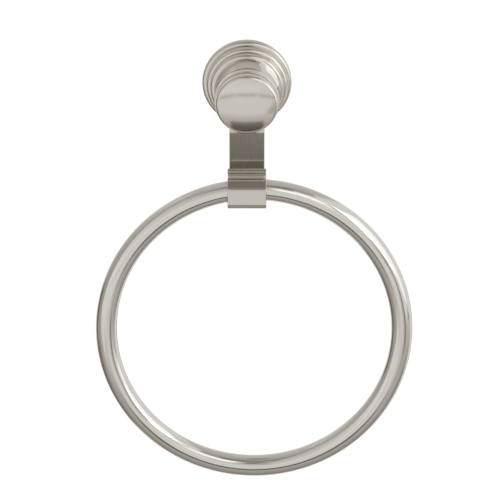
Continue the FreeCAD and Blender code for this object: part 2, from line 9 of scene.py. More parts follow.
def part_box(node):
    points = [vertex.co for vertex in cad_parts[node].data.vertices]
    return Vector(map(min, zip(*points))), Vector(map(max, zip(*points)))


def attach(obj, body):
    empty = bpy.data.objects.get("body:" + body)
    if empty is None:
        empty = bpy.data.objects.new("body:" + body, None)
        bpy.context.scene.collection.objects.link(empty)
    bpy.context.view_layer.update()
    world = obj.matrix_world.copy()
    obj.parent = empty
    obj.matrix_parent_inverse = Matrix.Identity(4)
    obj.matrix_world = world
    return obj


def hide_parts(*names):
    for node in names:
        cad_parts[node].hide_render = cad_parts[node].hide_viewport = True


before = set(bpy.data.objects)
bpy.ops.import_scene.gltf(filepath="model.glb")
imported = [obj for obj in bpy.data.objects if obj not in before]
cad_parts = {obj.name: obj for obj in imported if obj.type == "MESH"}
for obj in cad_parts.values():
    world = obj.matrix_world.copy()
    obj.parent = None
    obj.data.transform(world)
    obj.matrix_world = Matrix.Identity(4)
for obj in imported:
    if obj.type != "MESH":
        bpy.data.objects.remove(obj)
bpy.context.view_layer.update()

# Towel ring on a stepped post, with its satin nickel finish, in a plain studio.
# The wall is the plane Y = 0, the post stands out towards -Y and the ring hangs down from it.
# Forward means the distance in front of the wall. All lengths are in metres.

bl_info = {
    "name": "Towel ring",
    "version": (1, 0, 0),
    "blender": (4, 5, 0),
    "location": "3D View > Sidebar > Towel ring",
    "description": "A towel ring on a stepped post, in satin nickel, with its studio",
    "category": "Object",
}

FULL_TURN = 2 * math.pi

# Places taken from the frame

POST_LOW, POST_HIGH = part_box("post")
CAP_LOW, CAP_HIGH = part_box("front_cap")
STRAP_LOW, STRAP_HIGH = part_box("hanger_strap")
RING_LOW, RING_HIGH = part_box("ring")
BRACKET_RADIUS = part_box("wall_bracket")[1].x
HEAD_FRONT = -POST_LOW.y
RING_MIDDLE = (RING_LOW + RING_HIGH) / 2
TUBE_RADIUS = (RING_HIGH.y - RING_LOW.y) / 2
RING_RADIUS = (RING_HIGH.x - RING_LOW.x) / 2 - TUBE_RADIUS

# How finely the surfaces are drawn, with steps in metres

TURNED_COLUMNS = 256
POST_ROWS = 300
CAP_ROWS = 150
RING_ROWS = 480
RING_COLUMNS = 72
STRIP_ROWS = 400
STRIP_TOP_ROWS = 24
CORNER_POINTS = 6
LEAST_ARC_POINTS = 8
EVEN_STEP = 0.00004
TURN_WEIGHT = 0.0025

# Where the points lie across the strip's wide faces, as shares of its half width

FACE_PLACES = np.array((0.985, 0.9, 0.5, 0.0, -0.5, -0.9, -0.985))

# How sRGB turns to linear

BRIGHTEST = 255
STRAIGHT_UP_TO = 0.04045
STRAIGHT_DIVISOR = 12.92
CURVE_OFFSET = 0.055
CURVE_POWER = 2.4

# How the grain of the metals runs: its small waves' share, and the noise levels that it lies between

GRAIN_WAVES = 0.6
GRAIN_LOW = 0.3
GRAIN_HIGH = 0.7

# Linear colours of the studio, and how many times the aim's distance the camera sees

WHITE = (1.0, 1.0, 1.0, 1.0)
WARM_DARK = (1.0, 0.88, 0.78, 1.0)
PAPER = (0.9, 0.9, 0.9, 1.0)
PAPER_GLOW = (0.35, 0.35, 0.35, 1.0)
SIGHT_FACTOR = 10


def length(name, default, description):
    """A length that a user can change, shown in scene units."""
    return bpy.props.FloatProperty(
        name=name, description=description, default=default, min=0.0, unit="LENGTH", precision=4
    )


def shade(name, default, description):
    """A colour as a hex code in sRGB."""
    return bpy.props.StringProperty(name=name, description=description, default=default)


def amount(name, default, description):
    """A plain number from nothing upwards."""
    return bpy.props.FloatProperty(name=name, description=description, default=default, min=0.0)


def angle(name, default, description):
    """An angle, held in radians and shown in degrees."""
    return bpy.props.FloatProperty(
        name=name, description=description, default=math.radians(default), subtype="ANGLE"
    )


class PostSizes(bpy.types.PropertyGroup):
    """Sizes of the cast post."""

    second_inset: length("Second step inset", 0.0022, "How far the second step stands in from the first")
    third_inset: length("Third step inset", 0.0020, "How far the third step stands in from the second")
    first_rise: length("First step rise", 0.0033, "Height of the first step above the wall")
    second_rise: length("Second step rise", 0.0046, "Height of the second step above the first")
    third_rise: length("Third step rise", 0.0040, "Height of the third step above the second")
    step_round: length("Step rounding", 0.0019, "Radius of each step's rounded front edge")
    recess_gap: length("Recess gap", 0.0003, "Clearance round the bracket in its recess")
    recess_depth: length("Recess depth", 0.0070, "Depth of the recess for the bracket")
    cove_radius: length("Cove radius", 0.0080, "Radius of the cove between rosette and waist")
    cove_depth: length("Cove depth", 0.0035, "How far the cove goes in from rosette to waist")
    neck_flare: length("Neck flare", 0.0028, "How far the head's back edge stands out from the waist")
    neck_wall: length("Neck wall", 0.0031, "Wall at the waist")
    bore_floor: length("Bore floor", 0.0053, "Metal between the bore and the head's face")
    head_radius: length("Head radius", 0.0170, "Radius of the head")
    head_length: length("Head length", 0.0035, "Length of the head")
    head_round: length("Head rounding", 0.0006, "Radius of the head's rounded back edge")
    head_lip: length("Head lip", 0.0003, "Bevel at the head's front edge")
    screw_hole: length("Screw hole", 0.00275, "Radius of the hole for the cap screw")
    worn_edge: length("Edge softness", 0.00014, "How far the plating softens each sharp edge")


class CapSizes(bpy.types.PropertyGroup):
    """Sizes of the front cap."""

    rim_round: length("Rim rounding", 0.0020, "Radius of the rounded rim")
    rim_height: length("Rim height", 0.0052, "Height of the rounded rim above the head")
    dome_radius: length("Dome radius", 0.0650, "Radius of the slightly domed face")
    lip: length("Lip", 0.0003, "Bevel at the back edge")
    tapped_radius: length("Tapped hole", 0.0025, "Radius of the tapped hole")
    tapped_depth: length("Tapped depth", 0.0045, "Depth of the tapped hole")
    worn_edge: length("Edge softness", 0.00012, "How far the plating softens each sharp edge")


class StrapSizes(bpy.types.PropertyGroup):
    """Sizes of the folded strip."""

    strap_width: length("Strap width", 0.0183, "Width of the straight part")
    thickness: length("Thickness", 0.0012, "Thickness of the strip")
    lean: angle("Lean", 7.89, "How far the strap leans back towards the wall below the head")
    lean_bend: length("Lean bends", 0.0040, "Inner radius of the slight bends above and below the lean")
    lean_top: length("Lean's top", 0.0164, "How far below the post's axis the lean starts")
    rear_gap: length("Rear gap", 0.00065, "Clearance between the ring's tube and the loop's back")
    top_gap: length("Top gap", 0.0006, "Clearance between the ring's tube and the loop's top")
    slope_run: length("Slope's run", 0.0042, "How far the sloped top front reaches back")
    slope_drop: length("Slope's drop", 0.0045, "How far the sloped top front comes down")
    slope_round: length("Slope's folds", 0.0032, "Outer radius of the folds above and below the slope")
    bottom_round: length("Bottom folds", 0.0030, "Outer radius of the two folds at the bottom")
    tab_bend: length("Tab fold", 0.0005, "Inner radius of the fold at the end tab")
    tab_height: length("Tab height", 0.0015, "Height of the end tab above the loop's top")
    edge_round: length("Edge rounding", 0.0003, "Rounding of the strip's long edges")


class FinishColours(bpy.types.PropertyGroup):
    """Colours of the finishes."""

    nickel_light: shade("Nickel, light", "CAC6BD", "Satin nickel where the plating lies bright")
    nickel_dark: shade("Nickel, dark", "C4C0B8", "Satin nickel in the grain's hollows")
    strip_light: shade("Strip, light", "C4C0B8", "Satin nickel on the strip, bright lines")
    strip_dark: shade("Strip, dark", "BEBAB1", "Satin nickel on the strip, dull lines")
    tube_light: shade("Tube, light", "CFCCC7", "Satin nickel on the tube, bright lines")
    tube_dark: shade("Tube, dark", "CBC8C3", "Satin nickel on the tube, dull lines")
    zinc_light: shade("Zinc, light", "C9CCCE", "Zinc plate, bright grain")
    zinc_dark: shade("Zinc, dark", "A9ADB2", "Zinc plate, dull grain")


class StudioSettings(bpy.types.PropertyGroup):
    """Camera, lamp, floor and even light."""

    elevation: angle("Camera elevation", 20.7, "How far the camera looks down")
    lens: amount("Lens", 1200.0, "Focal length in millimetres")
    view_width: length("View width", 0.26044, "Width of the picture at the object")
    aim_right: length("Aim, right", 0.0016, "How far right of the post's axis the camera aims")
    aim_forward: length("Aim, forward", 0.0350, "How far in front of the wall the camera aims")
    aim_down: length("Aim, down", 0.08073, "How far below the post's axis the camera aims")
    floor_drop: length("Floor drop", 0.2500, "How far below the ring the floor lies")
    floor_reach: length("Floor reach", 12.0, "How far the floor goes on to each side")
    plain_level: amount("Plain light", 0.75, "Level of the even light all round")
    key_watts: amount("Key lamp", 6.0, "Power of the large soft lamp at the upper right")
    key_turn: angle("Key lamp turn", 50.0, "How far the key lamp stands to the right of the camera")
    key_height: angle("Key lamp height", 40.0, "How high the key lamp stands")
    key_size: length("Key lamp size", 0.9, "Side of the square key lamp")
    key_distance: length("Key lamp distance", 1.6, "How far from the aim the key lamp stands")


def linear(code):
    """A hex colour in sRGB as linear red, green, blue and full cover."""
    levels = np.array([int(code[place:place + 2], 16) for place in (0, 2, 4)]) / BRIGHTEST
    straight = levels / STRAIGHT_DIVISOR
    curved = ((levels + CURVE_OFFSET) / (1 + CURVE_OFFSET)) ** CURVE_POWER
    return (*np.where(levels <= STRAIGHT_UP_TO, straight, curved).tolist(), 1.0)


def node(tree, kind, links=(), values=(), **settings):
    """Add a node: links maps inputs to outputs, values maps inputs to plain values."""
    made = tree.nodes.new(kind)
    for name, setting in settings.items():
        setattr(made, name, setting)
    for name, value in dict(values).items():
        made.inputs[name].default_value = value
    for name, output in dict(links).items():
        tree.links.new(output, made.inputs[name])
    return made


# Outlines and surfaces


def arc(start, end, radius, turn):
    """Points on the short arc from start up to, and without, end, to the left for turn 1.

    The centre lies off the chord's middle by the root of the radius squared less half the chord
    squared. The angle then goes evenly from the start's to the end's.
    """
    start, end = np.array(start, float), np.array(end, float)
    chord = end - start
    span = np.hypot(*chord)
    side = np.array((-chord[1], chord[0])) / span
    centre = (start + end) / 2 + side * turn * math.sqrt(max(radius ** 2 - (span / 2) ** 2, 0.0))
    first = math.atan2(*(start - centre)[::-1])
    last = math.atan2(*(end - centre)[::-1])
    sweep = (last - first) * turn % FULL_TURN * turn
    count = max(int(abs(sweep) * radius / EVEN_STEP), LEAST_ARC_POINTS)
    angles = first + sweep * np.linspace(0, 1, count, endpoint=False)
    return centre + radius * np.stack((np.cos(angles), np.sin(angles)), axis=1)


def outline(corners, closed):
    """Points along an outline of corners (x, y), or (x, y, radius, turn) where an arc leads on."""
    following = corners[1:] + corners[:1] if closed else corners[1:]
    pieces = [
        arc(corner[:2], ahead[:2], *corner[2:]) if len(corner) > 2 else np.array([corner[:2]], float)
        for corner, ahead in zip(corners, following)
    ]
    if not closed:
        pieces.append(np.array([corners[-1][:2]], float))
    return np.concatenate(pieces)


def evenly(points, closed):
    """The same outline with points at even distances along it, found by its summed length."""
    looped = np.concatenate((points, points[:1])) if closed else points
    travelled = np.concatenate(([0.0], np.cumsum(np.hypot(*np.diff(looped, axis=0).T))))
    count = int(travelled[-1] / EVEN_STEP) + 1
    places = np.linspace(0, travelled[-1], count, endpoint=not closed)
    return np.stack([np.interp(places, travelled, looped[:, axis]) for axis in (0, 1)], axis=1)


def softened(points, closed, reach):
    """The outline with its sharp corners rounded: each point becomes the mean of the outline
    from reach behind it to reach ahead of it, twice over. Straight runs stay as they are."""
    window = max(int(round(reach / EVEN_STEP)), 1)
    points = evenly(points, closed)
    kernel = np.ones(2 * window + 1) / (2 * window + 1)
    kernel = np.convolve(kernel, kernel)
    margin = len(kernel) // 2
    if closed:
        padded = np.concatenate((points[-margin:], points, points[:margin]))
    else:
        before = 2 * points[0] - points[margin:0:-1]
        after = 2 * points[-1] - points[-2:-margin - 2:-1]
        padded = np.concatenate((before, points, after))
    return np.stack([np.convolve(padded[:, axis], kernel, "valid") for axis in (0, 1)], axis=1)


def chosen(points, closed, count):
    """That many points of the outline, close together where it turns and far apart where it is
    straight: they lie at even steps of length plus TURN_WEIGHT for each radian of turn."""
    looped = np.concatenate((points, points[:1])) if closed else points
    steps = np.diff(looped, axis=0)
    heading = np.unwrap(np.arctan2(steps[:, 1], steps[:, 0]))
    turning = np.abs(np.diff(heading, prepend=heading[0]))
    effort = np.concatenate(([0.0], np.cumsum(np.hypot(*steps.T) + TURN_WEIGHT * turning)))
    places = np.linspace(0, effort[-1], count, endpoint=not closed)
    return np.stack([np.interp(places, effort, looped[:, axis]) for axis in (0, 1)], axis=1)


def grid_faces(rows, columns, closed):
    """The four corners of each face of a grid of points. Each row closes on itself, and so does the
    whole grid where it is closed: its last row then joins its first."""
    last_row = rows if closed else rows - 1
    row, column = np.meshgrid(np.arange(last_row), np.arange(columns), indexing="ij")
    below, beside = (row + 1) % rows, (column + 1) % columns
    return np.stack(
        (row * columns + column, row * columns + beside, below * columns + beside, below * columns + column),
        axis=-1,
    ).reshape(-1, 4)


def new_piece(name, points, faces, grain=None):
    """A smooth mesh object from points and faces, turned outwards by the sign of its volume.

    The volume is a sixth of the sum of each triangle's triple product about the points' middle.
    """
    points = np.asarray(points, float)
    fan = np.array([(face[0], *pair) for face in faces for pair in zip(face[1:], face[2:])])
    first, second, third = (points[fan[:, i]] - points.mean(axis=0) for i in range(3))
    if np.einsum("ij,ij->i", first, np.cross(second, third)).sum() < 0:
        faces = [face[::-1] for face in faces]
    mesh = bpy.data.meshes.new(name)
    mesh.from_pydata(points.tolist(), [], [list(map(int, face)) for face in faces])
    if grain is not None:
        attribute = mesh.attributes.new("grain", "FLOAT_VECTOR", "POINT")
        attribute.data.foreach_set("vector", np.asarray(grain, np.float32).ravel())
    mesh.shade_smooth()
    mesh.update()
    piece = bpy.data.objects.new(name, mesh)
    bpy.context.scene.collection.objects.link(piece)
    return piece


def turned(name, profile, closed):
    """A surface of revolution about the Y axis from a profile of points (forward, radius).

    A point at angle a lies at x = radius sin a, y = -forward, z = radius cos a. A profile that
    isn't closed starts and ends on the axis, where each end is a single point with a fan of faces.
    """
    columns = TURNED_COLUMNS
    around = np.arange(columns) / columns * FULL_TURN
    body = profile if closed else profile[1:-1]
    forward, radius = body[:, :1], body[:, 1:]
    points = np.stack(
        (radius * np.sin(around), -forward + 0 * around, radius * np.cos(around)), axis=-1
    ).reshape(-1, 3)
    faces = grid_faces(len(body), columns, closed).tolist()
    if not closed:
        ends = ((profile[0, 0], 0), (profile[-1, 0], (len(body) - 1) * columns))
        for end, (at, start) in enumerate(ends):
            pole = len(points) + end
            ring = [start + column for column in range(columns)]
            pairs = zip(ring, ring[1:] + ring[:1])
            faces += [(pole, a, b) if end else (pole, b, a) for a, b in pairs]
        points = np.concatenate((points, [(0, -at, 0) for at, _ in ends]))
    return new_piece(name, points, faces)


# Materials


def metal(name, light, dark, grain, grain_detail, roughness, bump, attribute=None, stretch=(1, 1, 1)):
    """A plated metal: a fine grain moves its colour, gloss and height by a little.

    The grain is noise in steps of that many metres, on Object coordinates or on an attribute.
    """
    material = bpy.data.materials.new(name)
    material.use_nodes = True
    tree = material.node_tree
    tree.nodes.clear()
    if attribute:
        place = node(tree, "ShaderNodeAttribute", attribute_name=attribute).outputs["Vector"]
    else:
        place = node(tree, "ShaderNodeTexCoord").outputs["Object"]
    scaled = node(
        tree, "ShaderNodeMapping", {"Vector": place}, {"Scale": [factor / grain for factor in stretch]}
    )
    noise = node(
        tree,
        "ShaderNodeTexNoise",
        {"Vector": scaled.outputs["Vector"]},
        {"Scale": 1.0, "Detail": grain_detail, "Roughness": GRAIN_WAVES},
    )
    colour = node(
        tree,
        "ShaderNodeMix",
        {"Factor": noise.outputs["Fac"]},
        {"A": linear(dark), "B": linear(light)},
        data_type="RGBA",
    )
    gloss = node(
        tree,
        "ShaderNodeMapRange",
        {"Value": noise.outputs["Fac"]},
        {"From Min": GRAIN_LOW, "From Max": GRAIN_HIGH, "To Min": roughness[0], "To Max": roughness[1]},
    )
    height = node(
        tree, "ShaderNodeBump", {"Height": noise.outputs["Fac"]}, {"Strength": 1.0, "Distance": bump}
    )
    shader = node(
        tree,
        "ShaderNodeBsdfPrincipled",
        {
            "Base Color": colour.outputs["Result"],
            "Roughness": gloss.outputs["Result"],
            "Normal": height.outputs["Normal"],
        },
        {"Metallic": 1.0},
    )
    node(tree, "ShaderNodeOutputMaterial", {"Surface": shader.outputs["BSDF"]})
    return material


def satin_nickel_on_zinc_casting(finish):
    """Die cast zinc, blasted fine, then satin nickel plated: soft reflections and an even fine grain.

    The blasted grain is about 0.1 mm and is drawn at 0.6 mm, so that it shows. The material is made
    once, for the post and the cap.
    """
    name = "satin_nickel_on_zinc_casting"
    return bpy.data.materials.get(name) or metal(
        name, finish.nickel_light, finish.nickel_dark,
        grain=0.0006, grain_detail=2.0, roughness=(0.10, 0.14), bump=0.0000003,
    )


def satin_nickel_on_strip(finish):
    """Rolled strip, brushed along its length before plating: fine lines that run down the strap.

    The brushed lines are about 0.1 mm wide and are drawn at 0.5 mm, so that they show.
    """
    return metal(
        "satin_nickel_on_strip", finish.strip_light, finish.strip_dark,
        grain=0.0005, grain_detail=2.0, roughness=(0.09, 0.13), bump=0.0000003,
        attribute="grain", stretch=(1.0, 1.0, 0.03),
    )


def satin_nickel_on_tube(finish):
    """Drawn tube, belt brushed along its length and plated: faint long lines round the ring.

    The brushed lines are about 0.1 mm wide and are drawn at 0.7 mm, so that they show.
    """
    return metal(
        "satin_nickel_on_tube", finish.tube_light, finish.tube_dark,
        grain=0.0007, grain_detail=2.0, roughness=(0.09, 0.12), bump=0.0000003,
        attribute="grain", stretch=(1.0, 1.0, 0.02),
    )


def zinc_plated_steel(finish):
    """Zinc plate on pressed steel: cool, with a spangled grain of about 1.2 mm and a dull gloss."""
    return metal(
        "zinc_plated_steel", finish.zinc_light, finish.zinc_dark,
        grain=0.0012, grain_detail=3.0, roughness=(0.32, 0.42), bump=0.000002,
    )


# Pieces


def post_profile(sizes):
    """The closed outline that the post is turned from, as (forward, radius), from the wall outwards
    over the steps, the cove and the head, and back through the screw hole, bore and recess."""
    first_radius = POST_HIGH.x
    second_radius = first_radius - sizes.second_inset
    third_radius = second_radius - sizes.third_inset
    first_front = sizes.first_rise
    second_front = first_front + sizes.second_rise
    rosette_front = second_front + sizes.third_rise
    waist_radius = sizes.head_radius - sizes.head_round - sizes.neck_flare
    cove_span = math.sqrt(sizes.cove_radius ** 2 - (sizes.cove_radius - sizes.cove_depth) ** 2)
    waist_front = rosette_front + cove_span
    head_back = HEAD_FRONT - sizes.head_length
    flare_span = head_back - waist_front
    flare_radius = (flare_span ** 2 + sizes.neck_flare ** 2) / (2 * sizes.neck_flare)
    recess_radius = BRACKET_RADIUS + sizes.recess_gap
    bore_radius = waist_radius - sizes.neck_wall
    bore_end = HEAD_FRONT - sizes.bore_floor
    rounding = sizes.step_round
    corners = [(0, recess_radius), (0, first_radius)]
    for back, front, radius in (
        (0, first_front, first_radius),
        (first_front, second_front, second_radius),
        (second_front, rosette_front, third_radius),
    ):
        corners += [
            (back, radius),
            (front - rounding, radius, rounding, -1),
            (front, radius - rounding),
        ]
    corners += [
        (rosette_front, waist_radius + sizes.cove_depth, sizes.cove_radius, 1),
        (waist_front, waist_radius, flare_radius, 1),
        (head_back, sizes.head_radius - sizes.head_round, sizes.head_round, -1),
        (head_back + sizes.head_round, sizes.head_radius),
        (HEAD_FRONT - sizes.head_lip, sizes.head_radius),
        (HEAD_FRONT, sizes.head_radius - sizes.head_lip),
        (HEAD_FRONT, sizes.screw_hole),
        (bore_end, sizes.screw_hole),
        (bore_end, bore_radius),
        (sizes.recess_depth, bore_radius),
        (sizes.recess_depth, recess_radius),
    ]
    return corners


def strip_path(sizes, tab_top):
    """The middle line of the folded strip below the screw, as (forward, height): down the strap,
    which leans back between two slight bends, round the loop and up the end tab.

    Each fold is an arc about the middle of the strip's thickness. A bend through an angle starts
    and ends its radius times the tangent of half that angle from the corner that it rounds.
    """
    half = sizes.thickness / 2
    head = HEAD_FRONT - half
    back = -RING_HIGH.y - sizes.rear_gap - half
    front = -STRAP_LOW.y
    floor = STRAP_LOW.z + half
    top = tab_top - sizes.tab_height
    bottom = sizes.bottom_round - half
    tab = back + sizes.thickness
    tab_round = sizes.tab_bend + half
    bend = sizes.lean_bend + half
    bend_rise = bend * (1 - math.cos(sizes.lean))
    bend_run = bend * math.sin(sizes.lean)
    slope = math.atan2(sizes.slope_drop, sizes.slope_run)
    along = np.array((math.cos(slope), -math.sin(slope)))
    inset = half * np.array((math.sin(slope), math.cos(slope)))
    upper_fold = sizes.slope_round * math.tan(slope / 2)
    lower_fold = sizes.slope_round * math.tan((math.pi / 2 - slope) / 2)
    slope_top = np.array((front - sizes.slope_run, top)) + upper_fold * along - inset
    slope_foot = np.array((front, top - sizes.slope_drop)) - lower_fold * along - inset
    slope_round = sizes.slope_round - half
    return [
        (head, 0.0),
        (head, -sizes.lean_top, bend, -1),
        (head - bend_rise, -sizes.lean_top - bend_run),
        (back + bend_rise, tab_top + bend_run, bend, 1),
        (back, tab_top),
        (back, floor + bottom, bottom, 1),
        (back + bottom, floor),
        (front - half - bottom, floor, bottom, 1),
        (front - half, floor + bottom),
        (front - half, top - sizes.slope_drop - lower_fold, slope_round, 1),
        tuple(slope_foot),
        (*slope_top, slope_round, 1),
        (front - sizes.slope_run - upper_fold, top - half),
        (tab + tab_round, top - half, tab_round, -1),
        (tab, top - half + tab_round),
        (tab, tab_top),
    ]


def bar_section(half_width, half_thickness, rounding):
    """The outline of a rounded bar for each half width: x = +-(w - r) + r cos a and
    y = +-(t - r) + r sin a at the four corners, with more points along the two wide faces."""
    inner_width = half_width[:, None] - rounding
    inner_thickness = half_thickness - rounding
    corner = np.linspace(0, math.pi / 2, CORNER_POINTS)
    across, through = [], []
    for quarter in range(4):
        turn = corner + quarter * math.pi / 2
        side = 1 if quarter in (0, 3) else -1
        face = 1 if quarter in (0, 1) else -1
        across.append(side * inner_width + rounding * np.cos(turn))
        through.append(face * inner_thickness + rounding * np.sin(turn) + 0 * inner_width)
        if quarter in (0, 2):
            across.append(side * inner_width * FACE_PLACES)
            through.append(face * half_thickness + 0 * inner_width * FACE_PLACES)
    return np.concatenate(across, axis=1), np.concatenate(through, axis=1)


def folded_strip(name, sizes):
    """A strip carried along a path in the plane X = 0.

    At each place along the path the section is a rounded bar, as wide as the strip is there. The
    top end is a half circle: at a distance d from the top it is as wide as the root of d (2 w - d).
    """
    tab_top = RING_HIGH.z + sizes.top_gap + sizes.thickness + sizes.tab_height
    path = evenly(outline(strip_path(sizes, tab_top), closed=False), closed=False)
    path = chosen(path, closed=False, count=STRIP_ROWS)
    strap_half = sizes.strap_width / 2
    fall = strap_half * (1 - np.cos(np.linspace(0, math.pi / 2, STRIP_TOP_ROWS, endpoint=False)))
    top = np.stack((path[0, 0] + 0 * fall, STRAP_HIGH.z - fall), axis=1)
    centre = np.concatenate((top, path))
    steps = np.gradient(centre, axis=0)
    steps /= np.hypot(*steps.T)[:, None]
    travelled = np.concatenate(([0.0], np.cumsum(np.hypot(*np.diff(centre, axis=0).T))))
    from_top = np.minimum(travelled, strap_half)
    rounded = np.sqrt(from_top * (2 * strap_half - from_top))
    in_loop = np.maximum.accumulate(centre[:, 1] <= tab_top)
    half_width = np.where(in_loop, STRAP_HIGH.x, np.maximum(rounded, 2 * sizes.edge_round))
    across, through = bar_section(half_width, sizes.thickness / 2, sizes.edge_round)
    normal = np.stack((-steps[:, 1], steps[:, 0]), axis=1)
    y = -(centre[:, :1] + normal[:, :1] * through)
    z = centre[:, 1:] + normal[:, 1:] * through
    points = np.stack((across, y, z), axis=-1).reshape(-1, 3)
    rows, columns = across.shape
    faces = grid_faces(rows, columns, closed=False).tolist()
    faces.append(list(range(columns)))
    faces.append(list(range((rows - 1) * columns, rows * columns))[::-1])
    grain = np.stack((across, through, travelled[:, None] + 0 * across), axis=-1).reshape(-1, 3)
    return new_piece(name, points, faces, grain)


def bent_tube(name):
    """A tube bent into a full ring: at ring angle a and tube angle b a point lies at
    x = (R + r cos b) sin a, y = -r sin b, z = (R + r cos b) cos a from the ring's middle."""
    turn, roll = np.meshgrid(
        np.arange(RING_ROWS) / RING_ROWS * FULL_TURN,
        np.arange(RING_COLUMNS) / RING_COLUMNS * FULL_TURN,
        indexing="ij",
    )
    reach = RING_RADIUS + TUBE_RADIUS * np.cos(roll)
    points = np.stack((reach * np.sin(turn), -TUBE_RADIUS * np.sin(roll), reach * np.cos(turn)), axis=-1)
    grain = np.stack(
        (TUBE_RADIUS * np.cos(roll), TUBE_RADIUS * np.sin(roll), RING_RADIUS * turn), axis=-1
    )
    return new_piece(
        name,
        points.reshape(-1, 3) + np.array(RING_MIDDLE),
        grid_faces(RING_ROWS, RING_COLUMNS, closed=True).tolist(),
        grain.reshape(-1, 3),
    )


class TOWELRING_OT_post(bpy.types.Operator):
    """Turn the stepped post"""

    bl_idname = "towelring.post"
    bl_label = "Stepped post"

    def execute(self, context):
        sizes = context.scene.towel_ring_post
        profile = softened(outline(post_profile(sizes), closed=True), True, sizes.worn_edge)
        piece = turned("stepped_post", chosen(profile, True, POST_ROWS), closed=True)
        piece.data.materials.append(satin_nickel_on_zinc_casting(context.scene.towel_ring_finish))
        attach(piece, "holder")
        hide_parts("post")
        return {"FINISHED"}


class TOWELRING_OT_cap(bpy.types.Operator):
    """Turn the domed front cap"""

    bl_idname = "towelring.cap"
    bl_label = "Front cap"

    def execute(self, context):
        sizes = context.scene.towel_ring_cap
        radius = CAP_HIGH.x
        rim_front = HEAD_FRONT + sizes.rim_height - sizes.rim_round
        inner = radius - sizes.rim_round
        slope = math.asin(inner / (sizes.dome_radius - sizes.rim_round))
        top = -CAP_LOW.y
        corners = [
            (HEAD_FRONT + sizes.tapped_depth, 0),
            (HEAD_FRONT + sizes.tapped_depth, sizes.tapped_radius),
            (HEAD_FRONT, sizes.tapped_radius),
            (HEAD_FRONT, radius - sizes.lip),
            (HEAD_FRONT + sizes.lip, radius),
            (rim_front, radius, sizes.rim_round, -1),
            (
                rim_front + sizes.rim_round * math.cos(slope),
                inner + sizes.rim_round * math.sin(slope),
                sizes.dome_radius,
                -1,
            ),
            (top, 0),
        ]
        profile = softened(outline(corners, closed=False), False, sizes.worn_edge)
        piece = turned("domed_cap", chosen(profile, False, CAP_ROWS), closed=False)
        piece.data.materials.append(satin_nickel_on_zinc_casting(context.scene.towel_ring_finish))
        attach(piece, "holder")
        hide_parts("front_cap")
        return {"FINISHED"}


class TOWELRING_OT_strap(bpy.types.Operator):
    """Fold the hanger strap"""

    bl_idname = "towelring.strap"
    bl_label = "Hanger strap"

    def execute(self, context):
        piece = folded_strip("folded_strap", context.scene.towel_ring_strap)
        piece.data.materials.append(satin_nickel_on_strip(context.scene.towel_ring_finish))
        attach(piece, "holder")
        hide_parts("hanger_strap")
        return {"FINISHED"}


class TOWELRING_OT_ring(bpy.types.Operator):
    """Bend the ring"""

    bl_idname = "towelring.ring"
    bl_label = "Ring"

    def execute(self, context):
        piece = bent_tube("bent_ring")
        piece.data.materials.append(satin_nickel_on_tube(context.scene.towel_ring_finish))
        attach(piece, "ring")
        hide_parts("ring")
        return {"FINISHED"}


class TOWELRING_OT_fixings(bpy.types.Operator):
    """Finish the bracket and the screws that the post hides"""

    bl_idname = "towelring.fixings"
    bl_label = "Hidden fixings"

    def execute(self, context):
        zinc = zinc_plated_steel(context.scene.towel_ring_finish)
        for name in ("wall_bracket", "set_screw", "cap_screw"):
            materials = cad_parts[name].data.materials
            for index in range(len(materials)):
                materials[index] = zinc
        return {"FINISHED"}


# Cards that stand round the object and that only reflections see. Turn goes to the right of the camera,
# height goes upwards and roll raises the right end, all in degrees. Away is the distance from the aim, and
# it, width and tall are in metres. Foot and top are how bright the card is there, as a share of white.

Card = namedtuple("Card", "name turn height away width tall foot top roll")

